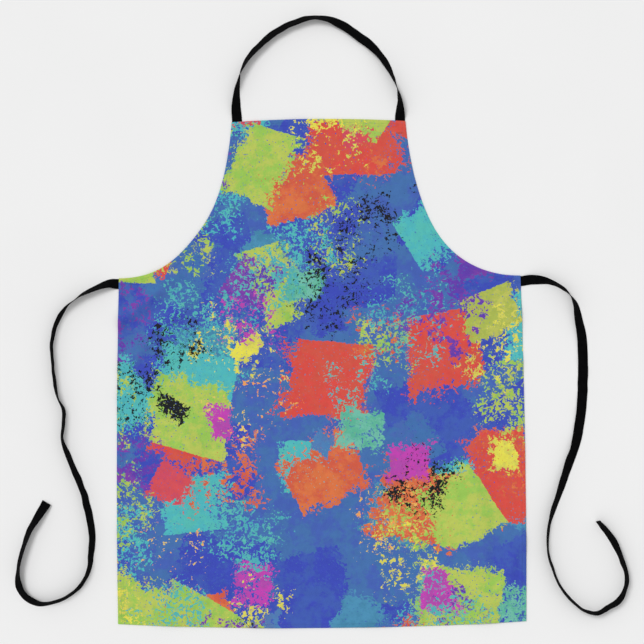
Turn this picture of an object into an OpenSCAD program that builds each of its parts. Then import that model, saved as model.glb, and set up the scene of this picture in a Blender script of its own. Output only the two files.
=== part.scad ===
// Bib apron, lying flat with its printed side up.
// Millimetres. +X to the right of the printed side, +Y towards the neck,
// +Z up out of the printed side. The origin is in the middle of the body
// cloth, on the surface that the apron lies on.

/* [Body cloth] */
// Length from the crown of the top edge to the bow of the bottom edge
apron_len = 762; // [700:1:800]
// Width of the top edge between the bib corners
bib_w = 260; // [240:1:270]
// Width at the waist corners, where the ties leave
waist_w = 601; // [580:1:620]
// Width at the bottom corners
hem_line_w = 611; // [590:1:630]
// How far the sides bow out between the corners, as the handle of a curve
side_bow = 5; // [0:0.5:10]
// How far the top edge crowns above the bib corners
top_crown = 4; // [0:0.5:8]
// How far the bottom edge bows below the bottom corners
bottom_bow = 8; // [0:0.5:12]
// Distance from the bib corners down to the waist corners
bib_drop = 232.5; // [220:0.5:245]
// Handle of the armhole curve below the bib corner
armhole_top_handle = 157; // [120:1:180]
// Handle of the armhole curve inward from the waist corner
armhole_side_handle = 97; // [80:1:115]
// Thickness of the cloth
cloth_t = 0.4; // [0.3:0.05:0.6]

/* [Hems and stitching] */
// Width of the turned hems
hem_w = 8; // [6:0.5:10]
// Thickness of a turned hem, two layers of the cloth
hem_t = 0.8; // [0.6:0.1:1.2]
// Distance of the stitch line from the edge
stitch_inset = 5.5; // [4:0.5:5.5]
// Width of the sewing thread
thread_w = 0.6; // [0.4:0.1:1]
// Height of the sewing thread on the cloth
thread_h = 0.12; // [0.05:0.01:0.15]

/* [Tapes] */
// Width of the neck strap and tie tape
tape_w = 15; // [12:0.5:15]
// Thickness of the tape
tape_t = 0.8; // [0.6:0.1:0.8]
// Length of each tape end sewn behind the cloth
sewn_len = 25; // [20:1:30]
// Distance from the centre line to the middle of the neck strap
strap_x = 122; // [121.5:0.1:122.2]
// Height of the middle of the waist ties above the origin
tie_y = 136; // [135.5:0.1:136.2]

/* [Fold lines] */
// Height of the waist fold, where the bib turns down
fold_y = 152; // [150:1:155]
// Gap left at each fold line between the pieces that move
fold_gap = 0.4; // [0.3:0.05:0.6]

/* [Hidden] */

top_y = apron_len / 2;
shoulder_y = top_y - top_crown;
waist_y = shoulder_y - bib_drop;
bottom_y = -apron_len / 2;
corner_y = bottom_y + bottom_bow;
bib_h = bib_w / 2;
waist_h = waist_w / 2;
foot_h = hem_line_w / 2;
top_z = hem_t + cloth_t;
// Where the tapes leave the cloth: just outside the side edge and the top edge
tie_x = waist_h + 0.6;
strap_y = shoulder_y + 1.6;

// Route of each tape: x, y and roll. Roll 0 lies flat, 90 stands on edge.
// Every point's lower edge touches the surface.
STRAP_ROUTE = concat([[-strap_x, strap_y, 0]], [
    [-123, 400, 25], [-122, 420, 55], [-118, 442, 85],
    [-110, 464, 115], [-95, 483, 130], [-76, 501, 135], [-56, 515, 135],
    [-34, 525, 130], [-12, 531, 125], [10, 531, 130], [32, 523, 150],
    [54, 509, 155], [75, 493, 155], [93, 475, 140], [106, 453, 125],
    [116, 432, 105], [121, 412, 75], [122, 394, 40]
], [[strap_x, strap_y, 0]]);
LEFT_ROUTE = concat([[-tie_x, tie_y, 0]], [
    [-318, 136, 40], [-346, 125, 65], [-369, 111, 85],
    [-386, 93, 105], [-397, 69, 105], [-401, 41, 95], [-399, 12, 95],
    [-396, -17, 95], [-391, -37, 90], [-384, -52, 100], [-384, -73, 100],
    [-386, -94, 95], [-379, -116, 110], [-368, -143, 115], [-356, -173, 120],
    [-348, -205, 125], [-343, -236, 125], [-344, -266, 120], [-350, -296, 110],
    [-364, -318, 110], [-385, -333, 110], [-407, -340, 120], [-425, -340, 135],
    [-442, -331, 145], [-453, -313, 140], [-454, -290, 120], [-448, -263, 120],
    [-438, -236, 125], [-425, -213, 145], [-411, -190, 170]
]);
RIGHT_ROUTE = concat([[tie_x, tie_y, 0]], [
    [320, 138, 20], [345, 134, 65], [368, 121, 85],
    [381, 102, 125], [387, 77, 155], [392, 48, 170], [393, 18, 180],
    [393, -14, 180], [391, -46, 180], [387, -79, 170], [380, -112, 160],
    [368, -144, 150], [357, -178, 140], [346, -208, 125], [339, -236, 115],
    [338, -266, 110], [345, -295, 110], [356, -320, 105], [373, -342, 105],
    [391, -356, 100], [411, -361, 105], [427, -352, 110], [442, -343, 115],
    [452, -327, 105], [455, -306, 100], [448, -281, 110], [435, -252, 125],
    [413, -223, 115]
]);

// ---- curves of the outline, right half ----
function bez2(a, b, c, t) = (1 - t) * (1 - t) * a + 2 * (1 - t) * t * b + t * t * c;
function bez3(a, b, c, d, t) =
    pow(1 - t, 3) * a + 3 * pow(1 - t, 2) * t * b + 3 * (1 - t) * t * t * c + pow(t, 3) * d;
function curve2(a, b, c, n) = [for (i = [0:n]) bez2(a, b, c, i / n)];
function curve3(a, b, c, d, n) = [for (i = [0:n]) bez3(a, b, c, d, i / n)];

// top edge, from the middle to the bib corner
top_edge = curve2([0, top_y], [bib_h / 2, top_y], [bib_h, shoulder_y], 6);
// armhole, from the bib corner to the waist corner
armhole = curve3([bib_h, shoulder_y], [bib_h + 13, shoulder_y - armhole_top_handle],
                 [waist_h - armhole_side_handle, waist_y - 0.5], [waist_h, waist_y], 28);
// side, from the waist corner to the bottom corner
side_edge = curve2([waist_h, waist_y], [(waist_h + foot_h) / 2 + side_bow, (waist_y + corner_y) / 2],
                   [foot_h, corner_y], 12);
// bottom edge, from the bottom corner to the middle
bottom_edge = curve2([foot_h, corner_y], [foot_h / 2, bottom_y], [0, bottom_y], 10);

function tail(v) = [for (i = [1:len(v) - 1]) v[i]];
function flip(v) = [for (i = [len(v) - 1:-1:0]) v[i]];
function mirror_x(v) = [for (p = v) [-p[0], p[1]]];
half_outline = concat(top_edge, tail(armhole), tail(side_edge), tail(bottom_edge));
outline = concat(half_outline, tail(flip(tail(mirror_x(half_outline)))));

// A line moved to the inside of the cloth by d. The right half runs clockwise.
function unit(v) = v / norm(v);
function way(v, i) = unit(v[min(i + 1, len(v) - 1)] - v[max(i - 1, 0)]);
function inward(v, d) = [for (i = [0:len(v) - 1]) v[i] + d * [way(v, i)[1], -way(v, i)[0]]];
function band(v, a, b) = concat(inward(v, a), flip(inward(v, b)));

module slab(z0, z1) { translate([0, 0, z0]) linear_extrude(z1 - z0) children(); }
module below_fold() { translate([-400, -450]) square([800, 450 + fold_y - fold_gap / 2]); }
module above_fold() { translate([-400, fold_y + fold_gap / 2]) square([800, 300]); }
// the places in the hems that the sewn tape ends take, right half
module tie_notch() { translate([waist_h - sewn_len - 0.2, tie_y - tape_w / 2 - 0.2]) square([60, tape_w + 14]); }
module strap_notch() { translate([strap_x - tape_w / 2 - 0.2, shoulder_y - sewn_len - 0.2]) square([40, sewn_len + 20]); }

// full-width lines of the top and the bottom edge
top_line = concat(flip(tail(mirror_x(top_edge))), top_edge);
bottom_line = concat(bottom_edge, tail(flip(mirror_x(bottom_edge))));

module top_band(a, b) { polygon(concat([for (p = top_line) p - [0, a]], flip([for (p = top_line) p - [0, b]]))); }
module bottom_band(a, b) { polygon(concat([for (p = bottom_line) p + [0, a]], flip([for (p = bottom_line) p + [0, b]]))); }

// ---- body cloth ----
module skirt_panel() { color([0.36, 0.56, 0.66]) slab(hem_t, top_z) intersection() { polygon(outline); below_fold(); } }
module bib_panel() { color([0.80, 0.46, 0.38]) slab(hem_t, top_z) intersection() { polygon(outline); above_fold(); } }

// ---- hems, turned to the back ----
module side_hem_shape() {
    difference() {
        polygon(band(side_edge, 0, hem_w));
        tie_notch();
        translate([0, bottom_y - 10]) square([400, 10 + bottom_bow + hem_w + 0.3]);
    }
}
module right_side_hem() { color([0.36, 0.42, 0.70]) slab(0, hem_t) side_hem_shape(); }
module left_side_hem() { color([0.36, 0.42, 0.70]) mirror([1, 0, 0]) slab(0, hem_t) side_hem_shape(); }
module bottom_hem() { color([0.36, 0.42, 0.70]) slab(0, hem_t) bottom_band(0, hem_w); }
module top_hem() { color([0.36, 0.42, 0.70]) slab(0, hem_t) difference() { top_band(0, hem_w); strap_notch(); mirror([1, 0, 0]) strap_notch(); } }
module armhole_hem_shape() { difference() { polygon(band(armhole, 0, hem_w)); strap_notch(); tie_notch(); } }
module right_armhole_hem() { color([0.36, 0.42, 0.70]) slab(0, hem_t) intersection() { armhole_hem_shape(); above_fold(); } }
module left_armhole_hem() { color([0.36, 0.42, 0.70]) mirror([1, 0, 0]) slab(0, hem_t) intersection() { armhole_hem_shape(); above_fold(); } }
module right_corner_hem() { color([0.36, 0.42, 0.70]) slab(0, hem_t) intersection() { armhole_hem_shape(); below_fold(); } }
module left_corner_hem() { color([0.36, 0.42, 0.70]) mirror([1, 0, 0]) slab(0, hem_t) intersection() { armhole_hem_shape(); below_fold(); } }

// ---- sewing thread, on the printed side ----
module side_thread_shape() {
    intersection() {
        polygon(band(side_edge, stitch_inset - thread_w / 2, stitch_inset + thread_w / 2));
        translate([0, corner_y + stitch_inset + 1]) square([400, waist_y - corner_y - 2 * stitch_inset - 2]);
    }
}
module right_side_stitching() { color([0.20, 0.22, 0.26]) slab(top_z, top_z + thread_h) side_thread_shape(); }
module left_side_stitching() { color([0.20, 0.22, 0.26]) mirror([1, 0, 0]) slab(top_z, top_z + thread_h) side_thread_shape(); }
module bottom_stitching() {
    color([0.20, 0.22, 0.26]) slab(top_z, top_z + thread_h)
        intersection() {
            bottom_band(stitch_inset - thread_w / 2, stitch_inset + thread_w / 2);
            translate([-foot_h + 3, bottom_y - 5]) square([2 * foot_h - 6, 60]);
        }
}
module top_stitching() {
    color([0.20, 0.22, 0.26]) slab(top_z, top_z + thread_h)
        intersection() {
            top_band(stitch_inset - thread_w / 2, stitch_inset + thread_w / 2);
            translate([-bib_h + 9, shoulder_y - 20]) square([2 * bib_h - 18, 40]);
        }
}
module armhole_thread_shape() {
    intersection() {
        polygon(band(armhole, stitch_inset - thread_w / 2, stitch_inset + thread_w / 2));
        translate([0, waist_y - 6]) square([waist_h - 8, bib_drop - 6]);
    }
}
module right_armhole_stitching() { color([0.20, 0.22, 0.26]) slab(top_z, top_z + thread_h) intersection() { armhole_thread_shape(); above_fold(); } }
module left_armhole_stitching() { color([0.20, 0.22, 0.26]) mirror([1, 0, 0]) slab(top_z, top_z + thread_h) intersection() { armhole_thread_shape(); above_fold(); } }
module right_corner_stitching() { color([0.20, 0.22, 0.26]) slab(top_z, top_z + thread_h) intersection() { armhole_thread_shape(); below_fold(); } }
module left_corner_stitching() { color([0.20, 0.22, 0.26]) mirror([1, 0, 0]) slab(top_z, top_z + thread_h) intersection() { armhole_thread_shape(); below_fold(); } }

// ---- tape ends sewn behind the cloth, and their bar tacks ----
module tie_end() { translate([waist_h - sewn_len, tie_y - tape_w / 2, 0]) cube([sewn_len, tape_w, hem_t]); }
module right_tie_sewn_end() { color([0.05, 0.05, 0.06]) tie_end(); }
module left_tie_sewn_end() { color([0.05, 0.05, 0.06]) mirror([1, 0, 0]) tie_end(); }
module strap_end() { translate([strap_x - tape_w / 2, shoulder_y - sewn_len, 0]) cube([tape_w, sewn_len + 0.1, hem_t]); }
module right_strap_sewn_end() { color([0.05, 0.05, 0.06]) strap_end(); }
module left_strap_sewn_end() { color([0.05, 0.05, 0.06]) mirror([1, 0, 0]) strap_end(); }
// a close zigzag of thread across the tape: one bar with a round end at each side
module bar(l, w) { linear_extrude(2 * thread_h) { square([l - w, w], center = true); for (s = [-1, 1]) translate([s * (l - w) / 2, 0]) circle(d = w, $fn = 24); } }
module tie_bar() { translate([waist_h - sewn_len + 7, tie_y - 1.5, top_z]) rotate([0, 0, 90]) bar(tape_w - 6, 1.6); }
module right_tie_bartack() { color([0.05, 0.05, 0.06]) tie_bar(); }
module left_tie_bartack() { color([0.05, 0.05, 0.06]) mirror([1, 0, 0]) tie_bar(); }
module strap_bar() { translate([strap_x - 1.5, shoulder_y - sewn_len + 7, top_z]) bar(tape_w - 6, 1.6); }
module right_strap_bartack() { color([0.05, 0.05, 0.06]) strap_bar(); }
module left_strap_bartack() { color([0.05, 0.05, 0.06]) mirror([1, 0, 0]) strap_bar(); }

// ---- free tapes: a flat ring at each point of the route, joined in one skin ----
function rise(a) = tape_w / 2 * abs(sin(a)) + tape_t / 2 * abs(cos(a));
function middle(r) = [r[0], r[1], rise(r[2])];
function heading(v, i, first, last) =
    i == 0 ? first : i == len(v) - 1 && norm(last) > 0 ? last
    : unit([v[min(i + 1, len(v) - 1)][0] - v[i - 1][0], v[min(i + 1, len(v) - 1)][1] - v[i - 1][1]]);
function ring(r, h) =
    let (u = [-h[1] * cos(r[2]), h[0] * cos(r[2]), sin(r[2])] * tape_w / 2,
         n = [h[1] * sin(r[2]), -h[0] * sin(r[2]), cos(r[2])] * tape_t / 2)
    [middle(r) - u - n, middle(r) + u - n, middle(r) + u + n, middle(r) - u + n];
module tape(v, first, last = [0, 0]) {
    n = len(v);
    rings = [for (i = [0:n - 1]) each ring(v[i], heading(v, i, first, last))];
    // the two wide faces split along the same diagonal, so the tape keeps its thickness in a twist
    walls = [for (i = [0:n - 2]) for (j = [0:3]) let (a = 4 * i + j, b = 4 * i + (j + 1) % 4)
        each j < 2 ? [[a, b + 4, b], [a, a + 4, b + 4]] : [[a, a + 4, b], [b, a + 4, b + 4]]];
    polyhedron(rings, concat(walls, [[0, 1, 2], [0, 2, 3]],
        [[4 * n - 4, 4 * n - 2, 4 * n - 3], [4 * n - 4, 4 * n - 1, 4 * n - 2]]));
}
module neck_strap() { color([0.05, 0.05, 0.06]) tape(STRAP_ROUTE, [0, 1], [0, -1]); }
module left_tie() { color([0.05, 0.05, 0.06]) tape(LEFT_ROUTE, [-1, 0]); }
module right_tie() { color([0.05, 0.05, 0.06]) tape(RIGHT_ROUTE, [1, 0]); }

skirt_panel();
left_side_hem();
right_side_hem();
bottom_hem();
left_corner_hem();
right_corner_hem();
left_side_stitching();
right_side_stitching();
bottom_stitching();
left_corner_stitching();
right_corner_stitching();
left_tie_sewn_end();
right_tie_sewn_end();
left_tie_bartack();
right_tie_bartack();
bib_panel();
top_hem();
left_armhole_hem();
right_armhole_hem();
top_stitching();
left_armhole_stitching();
right_armhole_stitching();
left_strap_sewn_end();
right_strap_sewn_end();
left_strap_bartack();
right_strap_bartack();
neck_strap();
left_tie();
right_tie();
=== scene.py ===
import math

import bpy
import numpy as np
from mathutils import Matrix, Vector
from mathutils.geometry import delaunay_2d_cdt


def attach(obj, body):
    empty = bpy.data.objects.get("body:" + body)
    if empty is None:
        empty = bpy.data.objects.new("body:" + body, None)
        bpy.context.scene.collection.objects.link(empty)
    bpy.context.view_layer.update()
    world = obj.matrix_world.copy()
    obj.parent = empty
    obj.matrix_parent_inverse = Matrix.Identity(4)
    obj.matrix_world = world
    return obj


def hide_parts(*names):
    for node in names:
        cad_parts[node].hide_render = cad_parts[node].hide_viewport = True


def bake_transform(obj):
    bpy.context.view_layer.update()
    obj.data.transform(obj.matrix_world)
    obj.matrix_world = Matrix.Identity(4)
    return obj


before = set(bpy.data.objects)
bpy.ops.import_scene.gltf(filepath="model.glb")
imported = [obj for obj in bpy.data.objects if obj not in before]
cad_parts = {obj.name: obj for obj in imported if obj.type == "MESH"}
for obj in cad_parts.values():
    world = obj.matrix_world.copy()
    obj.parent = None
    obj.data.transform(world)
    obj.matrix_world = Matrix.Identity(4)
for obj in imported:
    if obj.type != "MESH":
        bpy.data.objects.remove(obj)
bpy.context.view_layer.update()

MM = 0.001
SCENE = bpy.context.scene
SCENE.view_settings.view_transform = "Standard"
SCENE.view_settings.look = "None"


# ---------------------------------------------------------------- camera
cam = bpy.data.objects.new("camera", bpy.data.cameras.new("camera"))
bpy.context.collection.objects.link(cam)
cam.data.lens = 90.0
cam.data.sensor_width = 36.0
cam.location = (0.003, 0.077, 2.411)
cam.rotation_euler = (0, 0, math.radians(-0.42))
cam.data.clip_start = 0.01
cam.data.clip_end = 50
SCENE.camera = cam


# ---------------------------------------------------------------- small helpers
def srgb(r, g, b):
    out = []
    for c in (r, g, b):
        c = c / 255
        out.append(c / 12.92 if c <= 0.04045 else ((c + 0.055) / 1.055) ** 2.4)
    return (*out, 1.0)


def ease(t):
    t = np.clip(t, 0, 1)
    return t * t * (3 - 2 * t)


_tables = {}


def cloudy(x, y, size, seed):
    """Smooth seeded noise from -1 to 1, with blobs about size metres across."""
    if seed not in _tables:
        _tables[seed] = np.random.default_rng(seed).uniform(-1, 1, (97, 97))
    table = _tables[seed]
    u, v = x / size + 31.3, y / size + 17.7
    i, j = np.floor(u).astype(int), np.floor(v).astype(int)
    a, b = u - i, v - j
    a = a * a * a * (a * (a * 6 - 15) + 10)
    b = b * b * b * (b * (b * 6 - 15) + 10)
    i, j = i % 96, j % 96
    return (
        table[i, j] * (1 - a) * (1 - b)
        + table[i + 1, j] * a * (1 - b)
        + table[i, j + 1] * (1 - a) * b
        + table[i + 1, j + 1] * a * b
    )


def make_mesh(name, verts, faces, smooth=True):
    me = bpy.data.meshes.new(name)
    me.from_pydata([tuple(map(float, v)) for v in verts], [], [tuple(map(int, f)) for f in faces])
    me.validate()
    me.update()
    if smooth:
        me.polygons.foreach_set("use_smooth", [True] * len(me.polygons))
    ob = bpy.data.objects.new(name, me)
    bpy.context.collection.objects.link(ob)
    return ob


def give_uv(ob, uv):
    """uv is one pair for each vertex, in metres on the flat cloth or tape."""
    me = ob.data
    layer = me.uv_layers.new(name="flat")
    idx = np.empty(len(me.loops), dtype=np.int32)
    me.loops.foreach_get("vertex_index", idx)
    layer.data.foreach_set("uv", np.asarray(uv, dtype=np.float32)[idx].ravel())


def give_float(ob, name, values):
    at = ob.data.attributes.new(name, "FLOAT", "POINT")
    at.data.foreach_set("value", np.asarray(values, dtype=np.float32))


# ---------------------------------------------------------------- tapes: the free cords, made first
TAPE_W = 15 * MM
TAPE_T = 0.8 * MM

# x, y in mm and the roll of the tape in degrees: 0 lies flat, 90 stands on its edge
STRAP = [(-122, 378.6, 0), (-123, 400, 25), (-122, 420, 55), (-118, 442, 85), (-110, 464, 115), (-95, 483, 130),
         (-76, 501, 135), (-56, 515, 135), (-34, 525, 130), (-12, 531, 125), (10, 531, 130), (32, 523, 150),
         (54, 509, 155), (75, 493, 155), (93, 475, 140), (106, 453, 125), (116, 432, 105), (121, 412, 75),
         (122, 394, 40), (122, 378.6, 0)]
LEFT = [(-301.1, 136, 0), (-318, 136, 40), (-346, 125, 65), (-369, 111, 85), (-386, 93, 105), (-397, 69, 105),
        (-401, 41, 95), (-399, 12, 95), (-396, -17, 95), (-391, -37, 90), (-384, -52, 100), (-384, -73, 100),
        (-386, -94, 95), (-379, -116, 110), (-368, -143, 115), (-356, -173, 120), (-348, -205, 125),
        (-343, -236, 125), (-344, -266, 120), (-350, -296, 110), (-364, -318, 110), (-385, -333, 110),
        (-407, -340, 120), (-425, -340, 135), (-442, -331, 145), (-453, -313, 140), (-454, -290, 120),
        (-448, -263, 120), (-438, -236, 125), (-425, -213, 145), (-411, -190, 170)]
RIGHT = [(301.1, 136, 0), (320, 138, 20), (345, 134, 65), (368, 121, 85), (381, 102, 125), (387, 77, 155),
         (392, 48, 170), (393, 18, 180), (393, -14, 180), (391, -46, 180), (387, -79, 170), (380, -112, 160),
         (368, -144, 150), (357, -178, 140), (346, -208, 125), (339, -236, 115), (338, -266, 110),
         (345, -295, 110), (356, -320, 105), (373, -342, 105), (391, -356, 100), (411, -361, 105),
         (427, -352, 110), (442, -343, 115), (452, -327, 105), (455, -306, 100), (448, -281, 110),
         (435, -252, 125), (413, -223, 115)]


def smooth_route(route, first, last, start_in=0.0, end_in=0.0):
    """Dense points (x, y, roll) on a Catmull-Rom line through the route, about 2.5 mm apart.
    start_in and end_in carry the line straight back under the cloth."""
    p = np.array(route, float)
    p[:, :2] *= MM
    a = p[0] - [first[0] * 0.02, first[1] * 0.02, 0]
    b = p[-1] + [last[0] * 0.02, last[1] * 0.02, 0]
    q = np.vstack([a, p, b])
    out = []
    for i in range(1, len(q) - 2):
        p0, p1, p2, p3 = q[i - 1], q[i], q[i + 1], q[i + 2]
        n = max(3, int(np.linalg.norm((p2 - p1)[:2]) / 0.0025))
        for k in range(n):
            t = k / n
            out.append(0.5 * (2 * p1 + (p2 - p0) * t + (2 * p0 - 5 * p1 + 4 * p2 - p3) * t * t
                              + (3 * p1 - p0 - 3 * p2 + p3) * t ** 3))
    out.append(q[-2])
    out = np.array(out)
    if start_in:
        out = np.vstack([out[0] - [first[0] * start_in, first[1] * start_in, 0], out])
    if end_in:
        out = np.vstack([out, out[-1] + [last[0] * end_in, last[1] * end_in, 0]])
    return out


def tape_mesh(name, line, first, last, wobble=None):
    """A flat woven tape with rounded edges, swept along (x, y, roll)."""
    half, th = TAPE_W / 2, TAPE_T / 2
    prof = []
    for u in np.linspace(-half + 0.0006, half - 0.0006, 9):
        prof.append((u, th))
    for a in np.linspace(70, -70, 5):
        prof.append((half - 0.0004 + 0.0004 * math.cos(math.radians(a)), th * math.sin(math.radians(a))))
    for u in np.linspace(half - 0.0006, -half + 0.0006, 9):
        prof.append((u, -th))
    for a in np.linspace(-110, -250, 5):
        prof.append((-half + 0.0004 + 0.0004 * math.cos(math.radians(a)), th * math.sin(math.radians(a))))
    prof = np.array(prof)
    m = len(prof)
    n = len(line)
    xy = line[:, :2]
    head = np.zeros((n, 2))
    head[1:-1] = xy[2:] - xy[:-2]
    head[0], head[-1] = first, last
    head /= np.linalg.norm(head, axis=1)[:, None]
    arc = np.concatenate([[0], np.cumsum(np.linalg.norm(np.diff(xy, axis=0), axis=1))])
    roll = np.radians(line[:, 2])
    if wobble:
        # woven tape never lies quite smooth: it kinks and twists a little every few centimetres
        free = ease(arc / 0.04) * (ease((arc[-1] - arc) / 0.04) if wobble[1] else 1.0)
        along = np.zeros(n) + wobble[0]
        roll = roll + np.radians(5) * free * cloudy(arc, along, 0.019, 51) + np.radians(2.5) * free * cloudy(arc, along, 0.009, 52)
        side = np.stack([-head[:, 1], head[:, 0]], 1)
        xy = xy + side * (0.0006 * free * cloudy(arc, along, 0.013, 53))[:, None]
    verts, uv, centre = [], [], []
    for i in range(n):
        hx, hy = head[i]
        c, s = math.cos(roll[i]), math.sin(roll[i])
        z = half * abs(s) + th * abs(c)
        p = np.array([xy[i, 0], xy[i, 1], z])
        centre.append(p)
        du = np.array([-hy * c, hx * c, s])
        dn = np.array([hy * s, -hx * s, c])
        verts.append(p + prof[:, :1] * du + prof[:, 1:] * dn)
        uv += [(q[0], arc[i]) for q in prof]
    verts = np.concatenate(verts)
    verts[:, 2] = np.maximum(verts[:, 2], 0)
    faces = []
    for i in range(n - 1):
        a, b = i * m, (i + 1) * m
        for k in range(m):
            l = (k + 1) % m
            faces.append((a + k, a + l, b + l, b + k))
    faces.append(tuple(range(m - 1, -1, -1)))
    faces.append(tuple((n - 1) * m + k for k in range(m)))
    me_faces = [tuple(reversed(f)) for f in faces]
    ob = make_mesh(name, verts, me_faces)
    give_uv(ob, uv)
    return ob, np.array(centre), arc[-1]


OVERLAP = 3 * MM
strap_line = smooth_route(STRAP, (0, 1), (0, -1), OVERLAP, OVERLAP)
left_line = smooth_route(LEFT, (-1, 0), (0.48, 0.88), OVERLAP)
right_line = smooth_route(RIGHT, (1, 0), (-0.6, 0.8), OVERLAP)
strap, strap_path, strap_len = tape_mesh("neck_strap_tape", strap_line, (0, 1), (0, -1), (1.0, True))
left_tie, left_path, left_len = tape_mesh("left_tie_tape", left_line, (-1, 0), (0.48, 0.88), (2.6, False))
right_tie, right_path, right_len = tape_mesh("right_tie_tape", right_line, (1, 0), (-0.6, 0.8), (4.3, False))


# ---------------------------------------------------------------- the cut of the cloth
def curve(points, count):
    t = np.linspace(0, 1, count + 1)[:, None]
    p = [np.array(q, float) for q in points]
    if len(p) == 3:
        return (1 - t) ** 2 * p[0] + 2 * t * (1 - t) * p[1] + t * t * p[2]
    return (1 - t) ** 3 * p[0] + 3 * t * (1 - t) ** 2 * p[1] + 3 * t * t * (1 - t) * p[2] + t ** 3 * p[3]


def flip(points):
    return [(-x, y) for x, y in points]


PITCH = 2.5
TOP_R = [(130, 377), (65, 381), (0, 381)]
ARM_R = [(300.5, 144.5), (203.5, 144), (143, 220), (130, 377)]
SIDE_R = [(305.5, -373), (308, -114.25), (300.5, 144.5)]
LOW_R = [(0, -381), (152.75, -381), (305.5, -373)]


def even(points, pitch=PITCH):
    """The curve again with points at an even spacing, both ends kept."""
    c = curve(points, 400)
    d = np.concatenate([[0], np.cumsum(np.linalg.norm(np.diff(c, axis=0), axis=1))])
    n = max(2, int(round(d[-1] / pitch)))
    at = np.linspace(0, d[-1], n + 1)
    return np.stack([np.interp(at, d, c[:, 0]), np.interp(at, d, c[:, 1])], 1)


def both(right_half, forward):
    """A right half curve that starts or ends at x = 0, joined with its mirror."""
    r = even(right_half)
    l = r * [-1, 1]
    return np.vstack([r, l[::-1][1:]]) if forward else np.vstack([l[::-1], r[1:]])


# counter-clockwise, each from corner to corner
EDGES = {
    "top": both(TOP_R, True),
    "left_arm": even(flip(ARM_R[::-1])),
    "left_side": even(flip(SIDE_R[::-1])),
    "bottom": both(LOW_R, False),
    "right_side": even(SIDE_R),
    "right_arm": even(ARM_R),
}
loop, corner_at = [], {}
for key, pts in EDGES.items():
    corner_at[key] = len(loop)
    loop += list(pts[:-1])
loop = np.array(loop) * MM
N = len(loop)
step = np.roll(loop, -1, axis=0) - loop
step /= np.linalg.norm(step, axis=1)[:, None]
nrm = np.stack([-step[:, 1], step[:, 0]], 1)
prev = np.roll(nrm, 1, axis=0)
inward = (nrm + prev) / (1 + (nrm * prev).sum(1))[:, None]


def inset_of(xy):
    """Distance of each point from the outline, in metres."""
    a, b = loop, np.roll(loop, -1, axis=0)
    ab = b - a
    ll = (ab ** 2).sum(1)
    out = np.empty(len(xy))
    for k in range(0, len(xy), 3000):
        p = xy[k:k + 3000, None, :]
        t = np.clip(((p - a) * ab).sum(2) / ll, 0, 1)
        d = p - (a + t[..., None] * ab)
        out[k:k + 3000] = np.sqrt((d ** 2).sum(2)).min(1)
    return out


# ---------------------------------------------------------------- how it lies: drift in the plane, and relief
SEWN = [(-288, 136, 12.5, 7.5), (288, 136, 12.5, 7.5), (-122, 364.5, 7.5, 12.5), (122, 364.5, 7.5, 12.5)]

# soft folds: from, to, half width, height, all in mm
FOLDS = [
    (-306, 66, -222, 150, 12, 4.6),
    (-303, 14, -195, 105, 15, 3.6),
    (-310, -36, -225, 28, 13, 2.4),
    (-255, 150, -170, 60, 13, 1.8),
    (302, 92, 205, 38, 18, 2.8),
    (306, 20, 230, -60, 16, 2.2),
    (-150, 330, -60, 300, 16, 1.4),
    (125, 345, 60, 285, 18, 1.5),
    (-20, 375, -30, 250, 20, 1.3),
    (-70, 170, -60, -20, 20, 1.5),
    (90, 130, 70, -120, 24, 1.6),
    (-190, -60, -232, -370, 26, 2.4),
    (-60, -120, -80, -375, 26, 1.6),
    (70, -170, 90, -378, 24, 1.8),
    (215, -90, 245, -376, 22, 3.0),
    (-306, -225, -245, -310, 18, 2.6),
    (306, -245, 262, -345, 16, 3.0),
    (-140, 200, 120, 170, 15, 1.1),
]


def drift(xy):
    x, y = xy[:, 0], xy[:, 1]
    g = np.exp(-(((x + 0.192) / 0.055) ** 2 + ((y - 0.192) / 0.06) ** 2))
    h = np.exp(-(((x - 0.184) / 0.055) ** 2 + ((y - 0.200) / 0.06) ** 2))
    dx = -0.0030 * g - 0.0010 * h
    dy = 0.0038 * g - 0.0013 * h
    return xy + np.stack([dx, dy], 1)


def near_tapes(xy, reach):
    m = np.zeros(len(xy))
    for cx, cy, w, h in SEWN:
        dx = np.maximum(np.abs(xy[:, 0] - cx * MM) - w * MM, 0)
        dy = np.maximum(np.abs(xy[:, 1] - cy * MM) - h * MM, 0)
        m = np.maximum(m, 1 - ease(np.hypot(dx, dy) / reach))
    return m


def relief(xy):
    """Height of the underside of the cloth above the ground, never under 0."""
    x, y = xy[:, 0], xy[:, 1]
    z = np.zeros(len(xy))
    for x0, y0, x1, y1, w, h in FOLDS:
        a, b = np.array([x0, y0]) * MM, np.array([x1, y1]) * MM
        ab = b - a
        ln = np.linalg.norm(ab)
        t = ((xy - a) @ ab) / ln ** 2
        side = ((xy - a) @ np.array([-ab[1], ab[0]])) / ln
        bow = 0.012 * np.sin(t * 2.6 + x0) * 0.5
        width = w * MM * (0.75 + 0.5 * np.clip(t, 0, 1))
        along = ease((t + 0.12) / 0.3) * ease((1.25 - t) / 0.45)
        z += 1.35 * h * MM * along * np.exp(-((side - bow) / width) ** 2)
    z += 0.0016 * (0.5 + 0.5 * cloudy(x, y, 0.060, 11)) ** 2
    z += 0.0006 * (0.5 + 0.5 * cloudy(x, y, 0.024, 12)) ** 2
    # the relief is flattened near the sewn ends of the tapes
    return z * (1 - 0.92 * near_tapes(xy, 0.03))


def tape_under(xy):
    return 0.8 * MM * near_tapes(xy, 0.004)


HEM = 8 * MM
ROW = 5.5 * MM


def hem_lift(s):
    return 0.8 * MM - 0.74 * MM * ease((s - HEM) / 0.0024)


def dip(s):
    return 0.22 * MM * np.exp(-((s - ROW) / 0.0008) ** 2)


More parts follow.
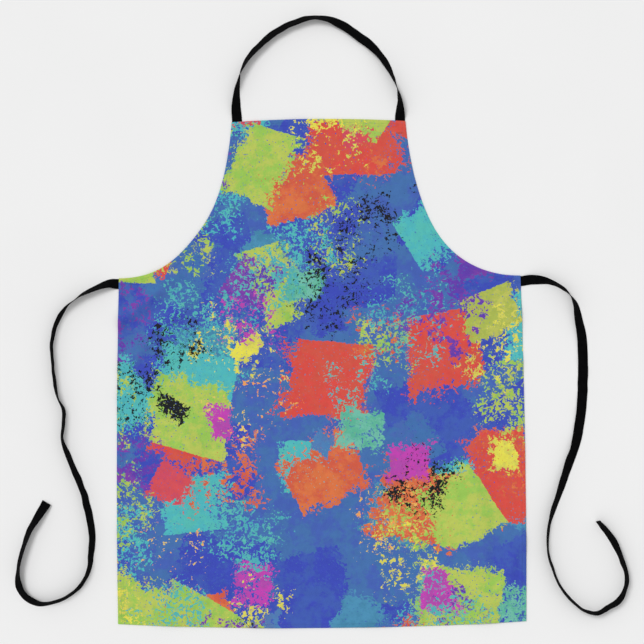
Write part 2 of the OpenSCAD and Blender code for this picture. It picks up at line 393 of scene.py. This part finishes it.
def pucker(xy, s):
    """Small buckles between the stitch row and the folded edge."""
    k = np.exp(-((s - 0.003) / 0.0028) ** 2)
    return 0.34 * MM * k * (0.5 + 0.5 * cloudy(xy[:, 0], xy[:, 1], 0.0065, 21))


def under_z(xy, s):
    return relief(xy) + tape_under(xy) + hem_lift(s) + pucker(xy, s)


# ---------------------------------------------------------------- the print: patches of colour in mm on the flat cloth
C, S, M_, X = 1.0, 5.0, 10.0, 19.0  # how a side ends: crisp, sponged, mottled, broken up


def poly(pts, soft, top=9.0):
    """A patch with straight sides; soft is one letter for each side, and top limits how solid it gets."""
    return pts, tuple({"c": C, "s": S, "m": M_, "x": X}[k] for k in soft), top


DICE = np.random.default_rng(52)


def daub(cx, cy, w, h, turn, soft, top):
    """A four-sided daub w by h about (cx, cy), its corners a little off square."""
    c, s = math.cos(turn), math.sin(turn)
    pts = []
    for u, v in ((-1, -1), (1, -1), (1, 1), (-1, 1)):
        a = u * w / 2 * float(DICE.uniform(0.85, 1.12))
        b = v * h / 2 * float(DICE.uniform(0.85, 1.12))
        pts.append((cx + a * c - b * s, cy + a * s + b * c))
    return poly(pts, soft, top)


def scatter(step, share, small, large, sides, low, high):
    """Daubs on a loose grid of that step over the whole cloth, with that share of the places taken."""
    out = []
    for row, gy in enumerate(range(-400, 401, step)):
        for gx in range(-340, 341, step):
            if float(DICE.random()) > share:
                continue
            cx = gx + (row % 2) * step / 2 + float(DICE.uniform(-0.35, 0.35)) * step
            cy = gy + float(DICE.uniform(-0.35, 0.35)) * step
            w, h = (float(q) for q in DICE.uniform(small, large, 2))
            soft = "".join(str(q) for q in DICE.permutation(list(sides)))
            out.append(daub(cx, cy, w, h, float(DICE.uniform(-0.6, 0.6)), soft, float(DICE.uniform(low, high))))
    return out


def flecks(step, share, size, top):
    """Broken-up areas, where only scattered marks of the colour show."""
    return scatter(step, share, size * 0.7, size * 1.3, "xxxx", top - 0.15, top + 0.15)


# an all-over daub print: the places, sizes and tilts all come from the seeded dice
LAYERS = [
    # name, colour, second colour, noise, patches
    ("cobalt", (57, 73, 184), (62, 92, 180), 0, scatter(118, 0.62, 80, 150, "csmm", 0.8, 2.2)),
    ("mid_blue", (62, 112, 174), (70, 104, 178), 1, scatter(150, 0.45, 70, 130, "csmm", 0.8, 2.0)),
    ("teal", (64, 132, 168), (74, 144, 182), 2, scatter(190, 0.45, 50, 100, "smmm", 0.6, 2.0)),
    ("turquoise", (76, 182, 190), (84, 188, 180), 1, scatter(200, 0.55, 70, 130, "csmx", 1.0, 2.2)
     + flecks(210, 0.5, 80, 0.2)),
    ("low_blue", (74, 158, 192), (72, 138, 180), 3, scatter(240, 0.35, 45, 80, "csmm", 1.0, 2.0)),
    ("red", (219, 74, 66), (211, 84, 68), 3, scatter(190, 0.50, 75, 135, "csmx", 1.2, 2.4)),
    ("orange", (220, 116, 66), (210, 90, 66), 2, scatter(215, 0.50, 75, 130, "smmx", 1.2, 2.4)
     + flecks(230, 0.4, 70, 0.15)),
    ("coral", (214, 78, 86), (204, 72, 96), 1, scatter(260, 0.30, 40, 70, "csmm", 1.0, 2.0)),
    ("lime", (186, 200, 90), (152, 198, 84), 3, scatter(195, 0.48, 70, 130, "csmx", 1.2, 2.4)
     + flecks(200, 0.5, 80, 0.15)),
    ("olive", (168, 182, 80), (190, 194, 92), 0, scatter(270, 0.35, 50, 90, "csmm", 1.0, 2.0)),
    ("yellow", (232, 224, 80), (208, 204, 90), 2, scatter(240, 0.40, 30, 60, "smmm", 0.9, 1.8)
     + flecks(190, 0.5, 75, 0.0)),
    ("sea_green", (112, 190, 168), (90, 180, 150), 1, scatter(270, 0.30, 35, 65, "ssmm", 0.6, 1.4)),
    ("blue_blots", (74, 128, 184), (84, 120, 176), 0, scatter(250, 0.35, 20, 35, "ssss", 0.9, 1.2)),
    ("magenta", (196, 64, 178), (178, 70, 170), 1, scatter(270, 0.35, 35, 70, "smmm", 0.7, 1.4)
     + flecks(240, 0.35, 55, 0.0)),
    ("purple", (128, 62, 168), (96, 58, 172), 2, scatter(260, 0.35, 50, 90, "csmm", 0.9, 1.8)
     + flecks(230, 0.4, 70, 0.05)),
    ("cyan_flecks", (74, 172, 184), (90, 186, 176), 3, flecks(180, 0.45, 80, 0.0)),
    ("light_specks", (232, 200, 104), (240, 158, 84), 0, flecks(190, 0.4, 70, -0.4)),
    ("black", (12, 16, 19), (18, 20, 30), 1, scatter(280, 0.30, 24, 48, "smmm", 0.8, 1.4)
     + flecks(190, 0.45, 60, 0.0)),
]
BASE = ((66, 112, 174), (66, 96, 180))


def fields(xy):
    """For each layer, how far inside its patches each point is: 0 on a side, 1 where it is solid."""
    x, y = xy[:, 0] / MM, xy[:, 1] / MM

    def wander(size, seed):
        return cloudy(xy[:, 0], xy[:, 1], size, seed)

    ax, ay = x + 1.5 * wander(0.030, 31), y + 1.5 * wander(0.030, 32)
    bx = x + 6 * wander(0.045, 35) + 4 * wander(0.018, 37)
    by = y + 6 * wander(0.045, 36) + 4 * wander(0.018, 38)
    out = []
    for number, (_, _, _, _, patches) in enumerate(LAYERS):
        cluster = 0.40 * wander(0.026, 60 + number) + 0.30 * wander(0.012, 90 + number)
        best = np.full(len(xy), -3.0)
        for pts, soft, top in patches:
            p = np.array(pts, float)
            area = 0.5 * np.sum(p[:, 0] * np.roll(p[:, 1], -1) - np.roll(p[:, 0], -1) * p[:, 1])
            turn = 1.0 if area > 0 else -1.0
            f = np.full(len(xy), float(top - 0.42 if top < 1 else top))
            loose = np.full(len(xy), 1.0 if top < 3 else 0.0)
            for i in range(len(p)):
                a, b = p[i], p[(i + 1) % len(p)]
                e = (b - a) / np.linalg.norm(b - a)
                wx, wy = (ax, ay) if soft[i] <= C else (bx, by)
                d = turn * ((wy - a[1]) * e[0] - (wx - a[0]) * e[1]) / soft[i]
                loose = np.where(d < f, min(1.0, (soft[i] - 1) / 12), loose)
                f = np.minimum(f, d)
            best = np.maximum(best, f + cluster * loose)
        out.append(np.clip(best, -3, 3))
    return out


def give_print(ob, xy):
    for (name, *_), f in zip(LAYERS, fields(xy)):
        give_float(ob, "print_" + name, f)


# ---------------------------------------------------------------- materials
class Graph:
    def __init__(self, name):
        self.mat = bpy.data.materials.new(name)
        self.mat.use_nodes = True
        self.t = self.mat.node_tree
        self.t.nodes.clear()
        self.out = self.t.nodes.new("ShaderNodeOutputMaterial")
        self.bsdf = self.t.nodes.new("ShaderNodeBsdfPrincipled")
        self.t.links.new(self.bsdf.outputs[0], self.out.inputs[0])

    def link(self, a, b):
        self.t.links.new(a, b)

    def put(self, sock, v):
        if isinstance(v, (int, float)):
            sock.default_value = v
        elif isinstance(v, tuple):
            sock.default_value = v
        else:
            self.link(v, sock)

    def math(self, op, a, b=0.0, c=0.0, clamp=False):
        n = self.t.nodes.new("ShaderNodeMath")
        n.operation = op
        n.use_clamp = clamp
        self.put(n.inputs[0], a)
        self.put(n.inputs[1], b)
        self.put(n.inputs[2], c)
        return n.outputs[0]

    def mix(self, fac, a, b, blend="MIX"):
        n = self.t.nodes.new("ShaderNodeMix")
        n.data_type = "RGBA"
        n.blend_type = blend
        self.put(n.inputs[0], fac)
        self.put(n.inputs[6], a)
        self.put(n.inputs[7], b)
        return n.outputs[2]

    def uv(self):
        n = self.t.nodes.new("ShaderNodeUVMap")
        n.uv_map = "flat"
        return n.outputs[0]

    def move(self, vec, loc=(0, 0, 0), scale=(1, 1, 1), turn=0.0):
        n = self.t.nodes.new("ShaderNodeMapping")
        n.inputs["Location"].default_value = loc
        n.inputs["Scale"].default_value = scale
        n.inputs["Rotation"].default_value = (0, 0, turn)
        self.link(vec, n.inputs["Vector"])
        return n.outputs[0]

    def noise(self, vec, scale, detail=2.0, rough=0.5, distortion=0.0):
        n = self.t.nodes.new("ShaderNodeTexNoise")
        n.noise_dimensions = "3D"
        n.inputs["Scale"].default_value = scale
        n.inputs["Detail"].default_value = detail
        n.inputs["Roughness"].default_value = rough
        n.inputs["Distortion"].default_value = distortion
        self.link(vec, n.inputs["Vector"])
        return n.outputs[0]

    def attr(self, name):
        n = self.t.nodes.new("ShaderNodeAttribute")
        n.attribute_name = name
        return n.outputs["Fac"]

    def range(self, v, a, b, c=0.0, d=1.0, kind="SMOOTHSTEP"):
        n = self.t.nodes.new("ShaderNodeMapRange")
        n.interpolation_type = kind
        self.put(n.inputs[0], v)
        for i, q in zip((1, 2, 3, 4), (a, b, c, d)):
            n.inputs[i].default_value = q
        return n.outputs[0]

    def split(self, vec):
        n = self.t.nodes.new("ShaderNodeSeparateXYZ")
        self.link(vec, n.inputs[0])
        return n.outputs

    def bump(self, height, strength, distance, normal=None):
        n = self.t.nodes.new("ShaderNodeBump")
        n.inputs["Strength"].default_value = strength
        n.inputs["Distance"].default_value = distance
        self.link(height, n.inputs["Height"])
        if normal is not None:
            self.link(normal, n.inputs["Normal"])
        return n.outputs[0]

    def weave(self, vec, pitch):
        """A plain weave: warp and weft threads pitch metres apart, one over and one under."""
        u, v, _ = self.split(vec)
        k = math.pi / pitch
        a = self.math("SINE", self.math("MULTIPLY", u, k))
        b = self.math("SINE", self.math("MULTIPLY", v, k))
        over = self.math("MULTIPLY", a, b)
        ca = self.math("ABSOLUTE", a)
        cb = self.math("ABSOLUTE", b)
        high = self.math("MAXIMUM", self.math("MULTIPLY", ca, self.math("ADD", 1.0, over)),
                         self.math("MULTIPLY", cb, self.math("SUBTRACT", 1.0, over)))
        return high


def print_material(name, through, thread=False):
    """The printed face. through under 1 is the back, where the print only shows faintly."""
    g = Graph(name)
    uv = g.uv()
    worms = [
        g.noise(g.move(uv, (0.31, 0.12, 0.0)), 146, 1.8, 0.58, 0.8),
        g.noise(g.move(uv, (2.10, 1.43, 0.3)), 170, 1.8, 0.56, 0.9),
        g.noise(g.move(uv, (5.70, 3.21, 0.6)), 134, 2.0, 0.60, 0.7),
        g.noise(g.move(uv, (7.90, 6.12, 0.9)), 160, 1.6, 0.56, 1.0),
    ]
    fine = [
        g.noise(g.move(uv, (1.30, 4.90, 0.2)), 400, 2.0, 0.6),
        g.noise(g.move(uv, (3.30, 0.90, 0.7)), 460, 2.0, 0.6),
    ]
    grain = [g.math("MULTIPLY_ADD", w, 4.6, -2.3) for w in worms]
    dust = [g.math("MULTIPLY_ADD", f, 2.0, -1.0) for f in fine]
    # pinholes, where the paint missed the cloth
    pins = [g.range(g.noise(g.move(uv, (8.3 * i, 5.1, 0.3)), 330, 1.0, 0.5), 0.66, 0.73, 0.0, -3.4) for i in (1, 2)]
    rough = [g.math("ADD", g.math("ADD", grain[i], dust[i % 2]), pins[i % 2]) for i in range(4)]
    slow = g.noise(g.move(uv, (9.3, 2.2, 0.1)), 26, 6.0, 0.78)
    slow2 = g.noise(g.move(uv, (1.3, 7.2, 0.6)), 34, 6.0, 0.80)
    mottle = [g.range(slow, 0.44, 0.58), g.range(slow2, 0.44, 0.58), g.range(slow, 0.58, 0.42), g.range(slow2, 0.58, 0.42)]
    slow = mottle[0]
    colour = g.mix(slow, srgb(*BASE[0]), srgb(*BASE[1]))
    for lname, ca, cb, k, _ in LAYERS:
        f = g.attr("print_" + lname)
        v = g.math("ADD", f, rough[k])
        cover = g.range(v, -0.07, 0.07)
        tone = g.mix(mottle[k], srgb(*ca), srgb(*cb))
        colour = g.mix(cover, colour, tone)
    # uneven ink, and the pale tips of the threads
    ink = g.noise(g.move(uv, (4.4, 8.1, 0.5)), 90, 4.0, 0.65)
    shade = g.range(ink, 0.3, 0.7, 0.93, 1.06, "LINEAR")
    v = g.t.nodes.new("ShaderNodeCombineXYZ")
    for i in range(3):
        g.link(shade, v.inputs[i])
    colour = g.mix(1.0, colour, v.outputs[0], "MULTIPLY")
    cloth = g.weave(uv, 0.00075)
    tips = g.range(cloth, 1.35, 1.9, 0.0, 0.05, "LINEAR")
    colour = g.mix(tips, colour, srgb(236, 234, 230))
    if through < 1:
        pale = g.mix(g.range(ink, 0.3, 0.7), srgb(238, 236, 232), srgb(228, 227, 224))
        colour = g.mix(through, pale, colour)
    if thread:
        twist = g.noise(g.move(uv, (0.2, 0.4, 0.1)), 2600, 2.0, 0.6)
        colour = g.mix(0.30, colour, g.mix(g.range(twist, 0.4, 0.7), srgb(44, 48, 62), srgb(92, 96, 112)))
        g.link(colour, g.bsdf.inputs["Base Color"])
        g.link(g.bump(twist, 0.5, 0.0001), g.bsdf.inputs["Normal"])
        g.bsdf.inputs["Roughness"].default_value = 0.6
        g.bsdf.inputs["Specular IOR Level"].default_value = 0.3
        return g.mat
    slub = g.noise(g.move(uv, (0, 0, 0), (1, 0.12, 1)), 900, 2.0, 0.5)
    crumple = g.noise(g.move(uv, (6.1, 6.6, 0.2)), 75, 3.0, 0.5)
    n1 = g.bump(crumple, 0.35, 0.0012)
    n2 = g.bump(slub, 0.25, 0.0001, n1)
    n3 = g.bump(cloth, 0.45, 0.00012, n2)
    g.link(colour, g.bsdf.inputs["Base Color"])
    g.link(n3, g.bsdf.inputs["Normal"])
    g.bsdf.inputs["Roughness"].default_value = 0.88
    g.bsdf.inputs["Specular IOR Level"].default_value = 0.22
    g.bsdf.inputs["Sheen Weight"].default_value = 0.02
    g.bsdf.inputs["Sheen Roughness"].default_value = 0.5
    return g.mat


def tape_material():
    g = Graph("tape_twill")
    uv = g.uv()
    u, v, _ = g.split(uv)
    # herringbone: bands 3.75 mm wide, the twill leaning the other way in each
    band = g.math("PINGPONG", g.math("ADD", u, 0.0075), 0.00375)
    ribs = g.math("SINE", g.math("MULTIPLY", g.math("ADD", v, band), 2 * math.pi / 0.0011))
    weft = g.math("SINE", g.math("MULTIPLY", u, 2 * math.pi / 0.0006))
    high = g.math("MULTIPLY_ADD", weft, 0.35, ribs)
    fuzz = g.noise(g.move(uv, (1.1, 2.2, 0.4)), 1500, 3.0, 0.6)
    wear = g.noise(g.move(uv, (3.1, 1.2, 0.8)), 120, 3.0, 0.6)
    tone = g.mix(g.range(wear, 0.35, 0.65), srgb(3, 3, 4), srgb(7, 7, 8))
    # painted highlight: the rounded edges of the tape are painted lighter
    edge_highlight = g.range(g.math("ABSOLUTE", u), 0.0066, 0.0075)
    tone = g.mix(g.math("MULTIPLY", edge_highlight, 0.35), tone, srgb(11, 11, 13))
    # painted highlight: the crests of the twill ribs are painted lighter, sheen put into the colour
    tone = g.mix(g.range(ribs, 0.2, 1.0, 0.0, 0.22), tone, srgb(14, 14, 17))
    n1 = g.bump(fuzz, 0.3, 0.0001)
    n2 = g.bump(high, 0.6, 0.00016, n1)
    g.link(tone, g.bsdf.inputs["Base Color"])
    g.link(n2, g.bsdf.inputs["Normal"])
    g.bsdf.inputs["Roughness"].default_value = 0.92
    g.bsdf.inputs["Specular IOR Level"].default_value = 0.06
    return g.mat


PRINT = print_material("printed_cotton", 1.0)
BACK = print_material("cotton_back", 0.16)
TAPE = tape_material()
THREAD = print_material("printed_thread", 1.0, thread=True)

for ob in (strap, left_tie, right_tie):
    ob.data.materials.append(TAPE)


# ---------------------------------------------------------------- the cloth
RINGS = [0.6, 1.3, 2.6, 4.0, 4.8, 5.5, 6.2, 7.2, 8.2, 9.4, 10.6, 11.8]


def cloth_piece():
    pts, inset = [], []
    for s in RINGS:
        pts.append(loop + inward * s * MM)
        inset.append(np.full(N, s * MM))
    gx = np.arange(-0.308, 0.3085, PITCH * MM)
    gy = np.arange(-0.382, 0.3825, PITCH * MM)
    grid = np.stack(np.meshgrid(gx, gy), -1).reshape(-1, 2)
    # keep the points well inside the outline
    from_loop = np.zeros(len(grid), bool)
    a, b = loop, np.roll(loop, -1, axis=0)
    for k in range(0, len(grid), 4000):
        p = grid[k:k + 4000, None, :]
        cross = ((a[:, 1] > p[..., 1]) != (b[:, 1] > p[..., 1])) & (
            p[..., 0] < (b[:, 0] - a[:, 0]) * (p[..., 1] - a[:, 1]) / (b[:, 1] - a[:, 1] + 1e-15) + a[:, 0])
        from_loop[k:k + 4000] = cross.sum(1) % 2 == 1
    grid = grid[from_loop]
    s = inset_of(grid)
    keep = s > 0.0132
    pts.append(grid[keep])
    inset.append(s[keep])
    pts, inset = np.concatenate(pts), np.concatenate(inset)
    ring = [(i, (i + 1) % N) for i in range(N)]
    v, _, f, ov, _, _ = delaunay_2d_cdt([Vector(p) for p in pts], ring, [], 1, 1e-8)
    back_to = np.array([o[0] for o in ov])
    place = {int(o): i for i, o in enumerate(back_to)}
    xy = np.array([(p.x, p.y) for p in v])
    s = inset[back_to]
    tri = np.array(f)
    n = len(xy)
    base = under_z(xy, s)
    dent = dip(s)
    pos = drift(xy)
    front = np.column_stack([pos, base + 0.4 * MM - dent])
    back = np.column_stack([pos, base - 0.6 * dent])
    # the folded edge: outside from the front over the edge to the ground, inside back to the cloth
    rim = [place[i] for i in range(N)]
    verts, flat = [front, back], [xy, xy]
    count = 2 * n
    low = relief(loop) + tape_under(loop)
    puck = pucker(loop, np.full(N, 0.0006))

    def lip(cx, cz, r, angles, squash=1.0):
        nonlocal count
        rows = []
        for a in angles:
            s_ = (cx - r * math.cos(math.radians(a))) * MM
            z_ = (cz + r * math.sin(math.radians(a))) * MM
            q = loop + inward * s_
            verts.append(np.column_stack([drift(q), low + z_ + puck * (z_ / (1.2 * MM))]))
            flat.append(q)
            rows.append(list(range(count, count + N)))
            count += N
        return rows

    outer = lip(0.6, 0.6, 0.6, (60, 30, 0, -30, -60, -90))
    inner = lip(0.65, 0.4, 0.39, (-88, -45, 0, 45))
    faces = [tuple(t) for t in tri] + [(t[2] + n, t[1] + n, t[0] + n) for t in tri]
    rows = [rim] + outer + inner + [[i + n for i in rim]]
    for p, q in zip(rows[:-1], rows[1:]):
        for i in range(N):
            j = (i + 1) % N
            faces.append((p[i], q[i], q[j], p[j]))
    verts, flat = np.concatenate(verts), np.concatenate(flat)
    ob = make_mesh("apron_cloth", verts, faces)
    give_uv(ob, flat + 0.5)
    give_print(ob, flat)
    ob.data.materials.append(PRINT)
    ob.data.materials.append(BACK)
    mi = np.zeros(len(ob.data.polygons), dtype=np.int32)
    mi[len(tri):2 * len(tri)] = 1
    tail = len(mi) - N
    mi[tail:] = 1
    ob.data.polygons.foreach_set("material_index", mi)
    return ob


cloth = cloth_piece()


def run(first, last_):
    """Loop indices of one edge, corner to corner."""
    a = corner_at[first]
    b = corner_at[last_] if corner_at[last_] > a else corner_at[last_] + N
    return [i % N for i in range(a, b + 1)]


ORDER = list(EDGES)
RUN = {k: run(k, ORDER[(i + 1) % 6]) for i, k in enumerate(ORDER)}


def end_inward(key):
    """The inward direction at each point of an edge, mitred at its two corners."""
    return inward[RUN[key]]


def hem_piece(key, name):
    """The turned-under edge: two layers of cloth, folded round at the outside and again at its inner edge."""
    idx = RUN[key]
    P, D = loop[idx], end_inward(key)
    prof = []
    # s and height in mm, clockwise from the outer edge over the top
    for a in (0, 45, 80):
        prof.append((0.77 - 0.38 * math.cos(math.radians(a)), 0.39 + 0.38 * math.sin(math.radians(a)), 1.0))
    for s in (1.6, 2.8, 4.2, 4.9, 5.5, 6.1, 6.8):
        prof.append((s, 0.77, 1.0))
    for a in (80, 40, 0, -40, -80):
        prof.append((7.62 + 0.39 * math.cos(math.radians(a)), 0.39 + 0.38 * math.sin(math.radians(a)), 1.0))
    for s in (6.8, 6.1, 5.5, 4.9, 4.2, 2.8, 1.6):
        prof.append((s, 0.0, -1.0))
    for a in (-80, -45):
        prof.append((0.77 - 0.38 * math.cos(math.radians(a)), 0.39 + 0.38 * math.sin(math.radians(a)), 1.0))
    m, n = len(prof), len(idx)
    verts, flat = [], []
    for s, z, side in prof:
        q = P + D * s * MM
        sv = np.full(n, s * MM)
        bottom = relief(q) + tape_under(q)
        # the top stays just under the cloth, the bottom is drawn up by the stitches
        zz = bottom + z * MM + pucker(q, sv) * min(1.0, z / 0.77)
        zz = zz - 0.6 * dip(sv) if side > 0 else zz + 1.1 * dip(sv)
        verts.append(np.column_stack([drift(q), zz]))
        flat.append(q)
    verts, flat = np.stack(verts, 1).reshape(-1, 3), np.stack(flat, 1).reshape(-1, 2)
    faces = []
    for i in range(n - 1):
        a, b = i * m, (i + 1) * m
        for k in range(m):
            l = (k + 1) % m
            faces.append((a + k, b + k, b + l, a + l))
    faces.append(tuple(range(m)))
    faces.append(tuple(reversed([(n - 1) * m + k for k in range(m)])))
    faces = [tuple(reversed(f)) for f in faces]
    ob = make_mesh(name, verts, faces)
    give_uv(ob, flat + 0.5)
    give_print(ob, flat)
    ob.data.materials.append(PRINT)
    return ob


HEMS = {k: hem_piece(k, n) for k, n in (
    ("top", "top_hem_fold"), ("left_arm", "left_armhole_hem_fold"), ("left_side", "left_side_hem_fold"),
    ("bottom", "bottom_hem_fold"), ("right_side", "right_side_hem_fold"), ("right_arm", "right_armhole_hem_fold"))}


# ---------------------------------------------------------------- stitching
def thread_piece(name, verts, faces):
    """The cloth was printed after it was sewn, so the thread has the print on it too."""
    ob = make_mesh(name, verts, faces)
    flat = np.array(verts)[:, :2]
    give_uv(ob, flat + 0.5)
    give_print(ob, flat)
    ob.data.materials.append(THREAD)
    return ob


def stitch_row(key, name):
    """Lockstitches 3 mm apart, 5.5 mm inside the edge, on the front and on the underside."""
    idx = RUN[key]
    line = loop[idx] + end_inward(key) * ROW
    d = np.concatenate([[0], np.cumsum(np.linalg.norm(np.diff(line, axis=0), axis=1))])
    rng = np.random.default_rng(len(name) * 7 + len(idx))
    verts, faces = [], []
    sides = 6
    stations = [(-1.0, 0.30, -0.16), (-0.72, 0.85, -0.02), (0.0, 1.0, 0.07), (0.72, 0.85, -0.02), (1.0, 0.30, -0.16)]
    for face in (1, -1):
        offset = 1.5 if face > 0 else 3.0
        for c in np.arange(offset * MM, d[-1] - 1.0 * MM, 3 * MM):
            half = 1.22 * MM
            wob = rng.normal(0, 0.06 * MM)
            at = np.array([c + u * half for u, _, _ in stations])
            q = np.stack([np.interp(at, d, line[:, 0]), np.interp(at, d, line[:, 1])], 1)
            t = q[-1] - q[0]
            t /= np.linalg.norm(t)
            b = np.array([-t[1], t[0]])
            q = q + b * wob
            sv = np.full(len(q), ROW)
            if face > 0:
                z = under_z(q, sv) + 0.4 * MM - dip(sv)
            else:
                z = relief(q) + tape_under(q) + 1.1 * dip(sv)
            pos = drift(q)
            start = len(verts)
            for k, (_, r, h) in enumerate(stations):
                for j in range(sides):
                    a = 2 * math.pi * j / sides
                    e = b * 0.24 * MM * r * math.cos(a)
                    zz = z[k] + face * (h + 0.02) * MM + 0.17 * MM * r * math.sin(a)
                    verts.append((pos[k, 0] + e[0], pos[k, 1] + e[1], zz))
            for k in range(len(stations) - 1):
                for j in range(sides):
                    l = (j + 1) % sides
                    o = start + k * sides
                    faces.append((o + j, o + l, o + sides + l, o + sides + j))
            faces.append(tuple(start + j for j in reversed(range(sides))))
            o = start + (len(stations) - 1) * sides
            faces.append(tuple(o + j for j in range(sides)))
    faces = [tuple(reversed(f)) for f in faces]
    return thread_piece(name, verts, faces)


ROWS = {k: stitch_row(k, n) for k, n in (
    ("top", "top_stitches"), ("left_arm", "left_armhole_stitches"), ("left_side", "left_side_stitches"),
    ("bottom", "bottom_stitches"), ("right_side", "right_side_stitches"), ("right_arm", "right_armhole_stitches"))}


def tube(points, radius, sides=6, flat=0.8):
    """Vertices and faces of a thread along 3-D points."""
    p = np.array(points, float)
    n = len(p)
    t = np.zeros_like(p)
    t[1:-1] = p[2:] - p[:-2]
    t[0], t[-1] = p[1] - p[0], p[-1] - p[-2]
    t /= np.linalg.norm(t, axis=1)[:, None]
    up = np.array([0, 0, 1.0])
    b = np.cross(up, t)
    b /= np.linalg.norm(b, axis=1)[:, None]
    u = np.cross(t, b)
    verts = []
    for i in range(n):
        for j in range(sides):
            a = 2 * math.pi * j / sides
            verts.append(p[i] + b[i] * radius * math.cos(a) + u[i] * radius * flat * math.sin(a))
    faces = []
    for i in range(n - 1):
        for j in range(sides):
            l = (j + 1) % sides
            faces.append((i * sides + j, i * sides + l, (i + 1) * sides + l, (i + 1) * sides + j))
    faces.append(tuple(reversed(range(sides))))
    faces.append(tuple((n - 1) * sides + j for j in range(sides)))
    return verts, faces


def bar_tack(name, cx, cy, along):
    """A close zigzag 9 mm long and 1.6 mm wide, through the cloth and the tape, seen on both faces."""
    verts, faces = [], []
    for face in (1, -1):
        pts = []
        n = 34
        for i in range(n + 1):
            a = (-4.5 + 9 * i / n) * MM
            b = (0.72 if i % 2 else -0.72) * MM
            x, y = (cx * MM + b, cy * MM + a) if along == "y" else (cx * MM + a, cy * MM + b)
            pts.append((x, y))
        dense = []
        for p, q in zip(pts[:-1], pts[1:]):
            for t in (0, 0.2, 0.5, 0.8):
                dense.append((p[0] + (q[0] - p[0]) * t, p[1] + (q[1] - p[1]) * t, t))
        dense.append((*pts[-1], 0))
        xy = np.array([(p[0], p[1]) for p in dense])
        t = np.array([p[2] for p in dense])
        s = inset_of(xy)
        if face > 0:
            z = under_z(xy, s) + 0.4 * MM - dip(s) + 0.08 * MM + 0.10 * MM * np.sin(np.pi * t)
        else:
            z = relief(xy) + 0.14 * MM - 0.02 * MM * np.sin(np.pi * t)
        pos = drift(xy)
        v, f = tube(np.column_stack([pos, z]), 0.16 * MM)
        f = [tuple(k + len(verts) for k in q) for q in f]
        verts += list(v)
        faces += f
    return thread_piece(name, verts, faces)


TACKS = [
    bar_tack("left_tie_bar_tack", -282.5, 134.5, "y"), bar_tack("right_tie_bar_tack", 282.5, 134.5, "y"),
    bar_tack("left_strap_bar_tack", -120.5, 359, "x"), bar_tack("right_strap_bar_tack", 120.5, 359, "x")]


# ---------------------------------------------------------------- the sewn ends of the tapes, under the cloth
def sewn_end(name, a, b, heading):
    n = 11
    line = np.column_stack([np.linspace(a[0], b[0], n) * MM, np.linspace(a[1], b[1], n) * MM, np.zeros(n)])
    ob, _, _ = tape_mesh(name, line, heading, heading)
    ob.data.materials.append(TAPE)
    return ob


ENDS = [
    sewn_end("left_tie_end", (-275.5, 136), (-300.4, 136), (-1, 0)),
    sewn_end("right_tie_end", (275.5, 136), (300.4, 136), (1, 0)),
    sewn_end("left_strap_end", (-122, 352), (-122, 376.9), (0, 1)),
    sewn_end("right_strap_end", (122, 352), (122, 376.9), (0, 1))]


# ---------------------------------------------------------------- bodies
for ob in (cloth, HEMS["left_arm"], HEMS["right_arm"], ROWS["left_arm"], ROWS["right_arm"]):
    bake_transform(ob)
for ob in (HEMS["left_side"], HEMS["right_side"], HEMS["bottom"], ROWS["left_side"], ROWS["right_side"],
           ROWS["bottom"], TACKS[0], TACKS[1], ENDS[0], ENDS[1]):
    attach(ob, "skirt")
for ob in (HEMS["top"], ROWS["top"], TACKS[2], TACKS[3], ENDS[2], ENDS[3]):
    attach(ob, "bib")
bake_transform(strap)
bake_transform(left_tie)
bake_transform(right_tie)

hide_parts("skirt_panel", "bib_panel")
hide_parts("top_hem")
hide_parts("bottom_hem")
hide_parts("left_side_hem")
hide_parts("right_side_hem")
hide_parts("left_armhole_hem", "left_corner_hem")
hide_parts("right_armhole_hem", "right_corner_hem")
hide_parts("top_stitching")
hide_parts("bottom_stitching")
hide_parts("left_side_stitching")
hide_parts("right_side_stitching")
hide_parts("left_armhole_stitching", "left_corner_stitching")
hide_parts("right_armhole_stitching", "right_corner_stitching")
for ob, node in zip(TACKS, ("left_tie_bartack", "right_tie_bartack", "left_strap_bartack", "right_strap_bartack")):
    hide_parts(node)
for ob, node in zip(ENDS, ("left_tie_sewn_end", "right_tie_sewn_end", "left_strap_sewn_end", "right_strap_sewn_end")):
    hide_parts(node)
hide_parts("neck_strap")
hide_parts("left_tie")
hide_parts("right_tie")


# ---------------------------------------------------------------- floor and light
floor = make_mesh("floor", [(-4, -4, -0.0003), (4, -4, -0.0003), (4, 4, -0.0003), (-4, 4, -0.0003)], [(0, 1, 2, 3)], False)
fm = Graph("floor")
fn = fm.noise(fm.t.nodes.new("ShaderNodeTexCoord").outputs["Object"], 6, 2, 0.5)
fm.link(fm.mix(fm.range(fn, 0.3, 0.7), srgb(240, 240, 240), srgb(241, 241, 241)), fm.bsdf.inputs["Base Color"])
fm.bsdf.inputs["Roughness"].default_value = 1.0
fm.bsdf.inputs["Specular IOR Level"].default_value = 0.0
floor.data.materials.append(fm.mat)

world = bpy.data.worlds.new("studio")
SCENE.world = world
world.use_nodes = True
bg = world.node_tree.nodes["Background"]
bg.inputs[0].default_value = (1, 1, 1, 1)
bg.inputs[1].default_value = 0.64

sun = bpy.data.objects.new("key", bpy.data.lights.new("key", "SUN"))
bpy.context.collection.objects.link(sun)
sun.data.energy = 1.28
sun.data.angle = math.radians(24)
sun.rotation_euler = Vector((0.38, -0.36, -0.85)).to_track_quat("-Z", "Y").to_euler()
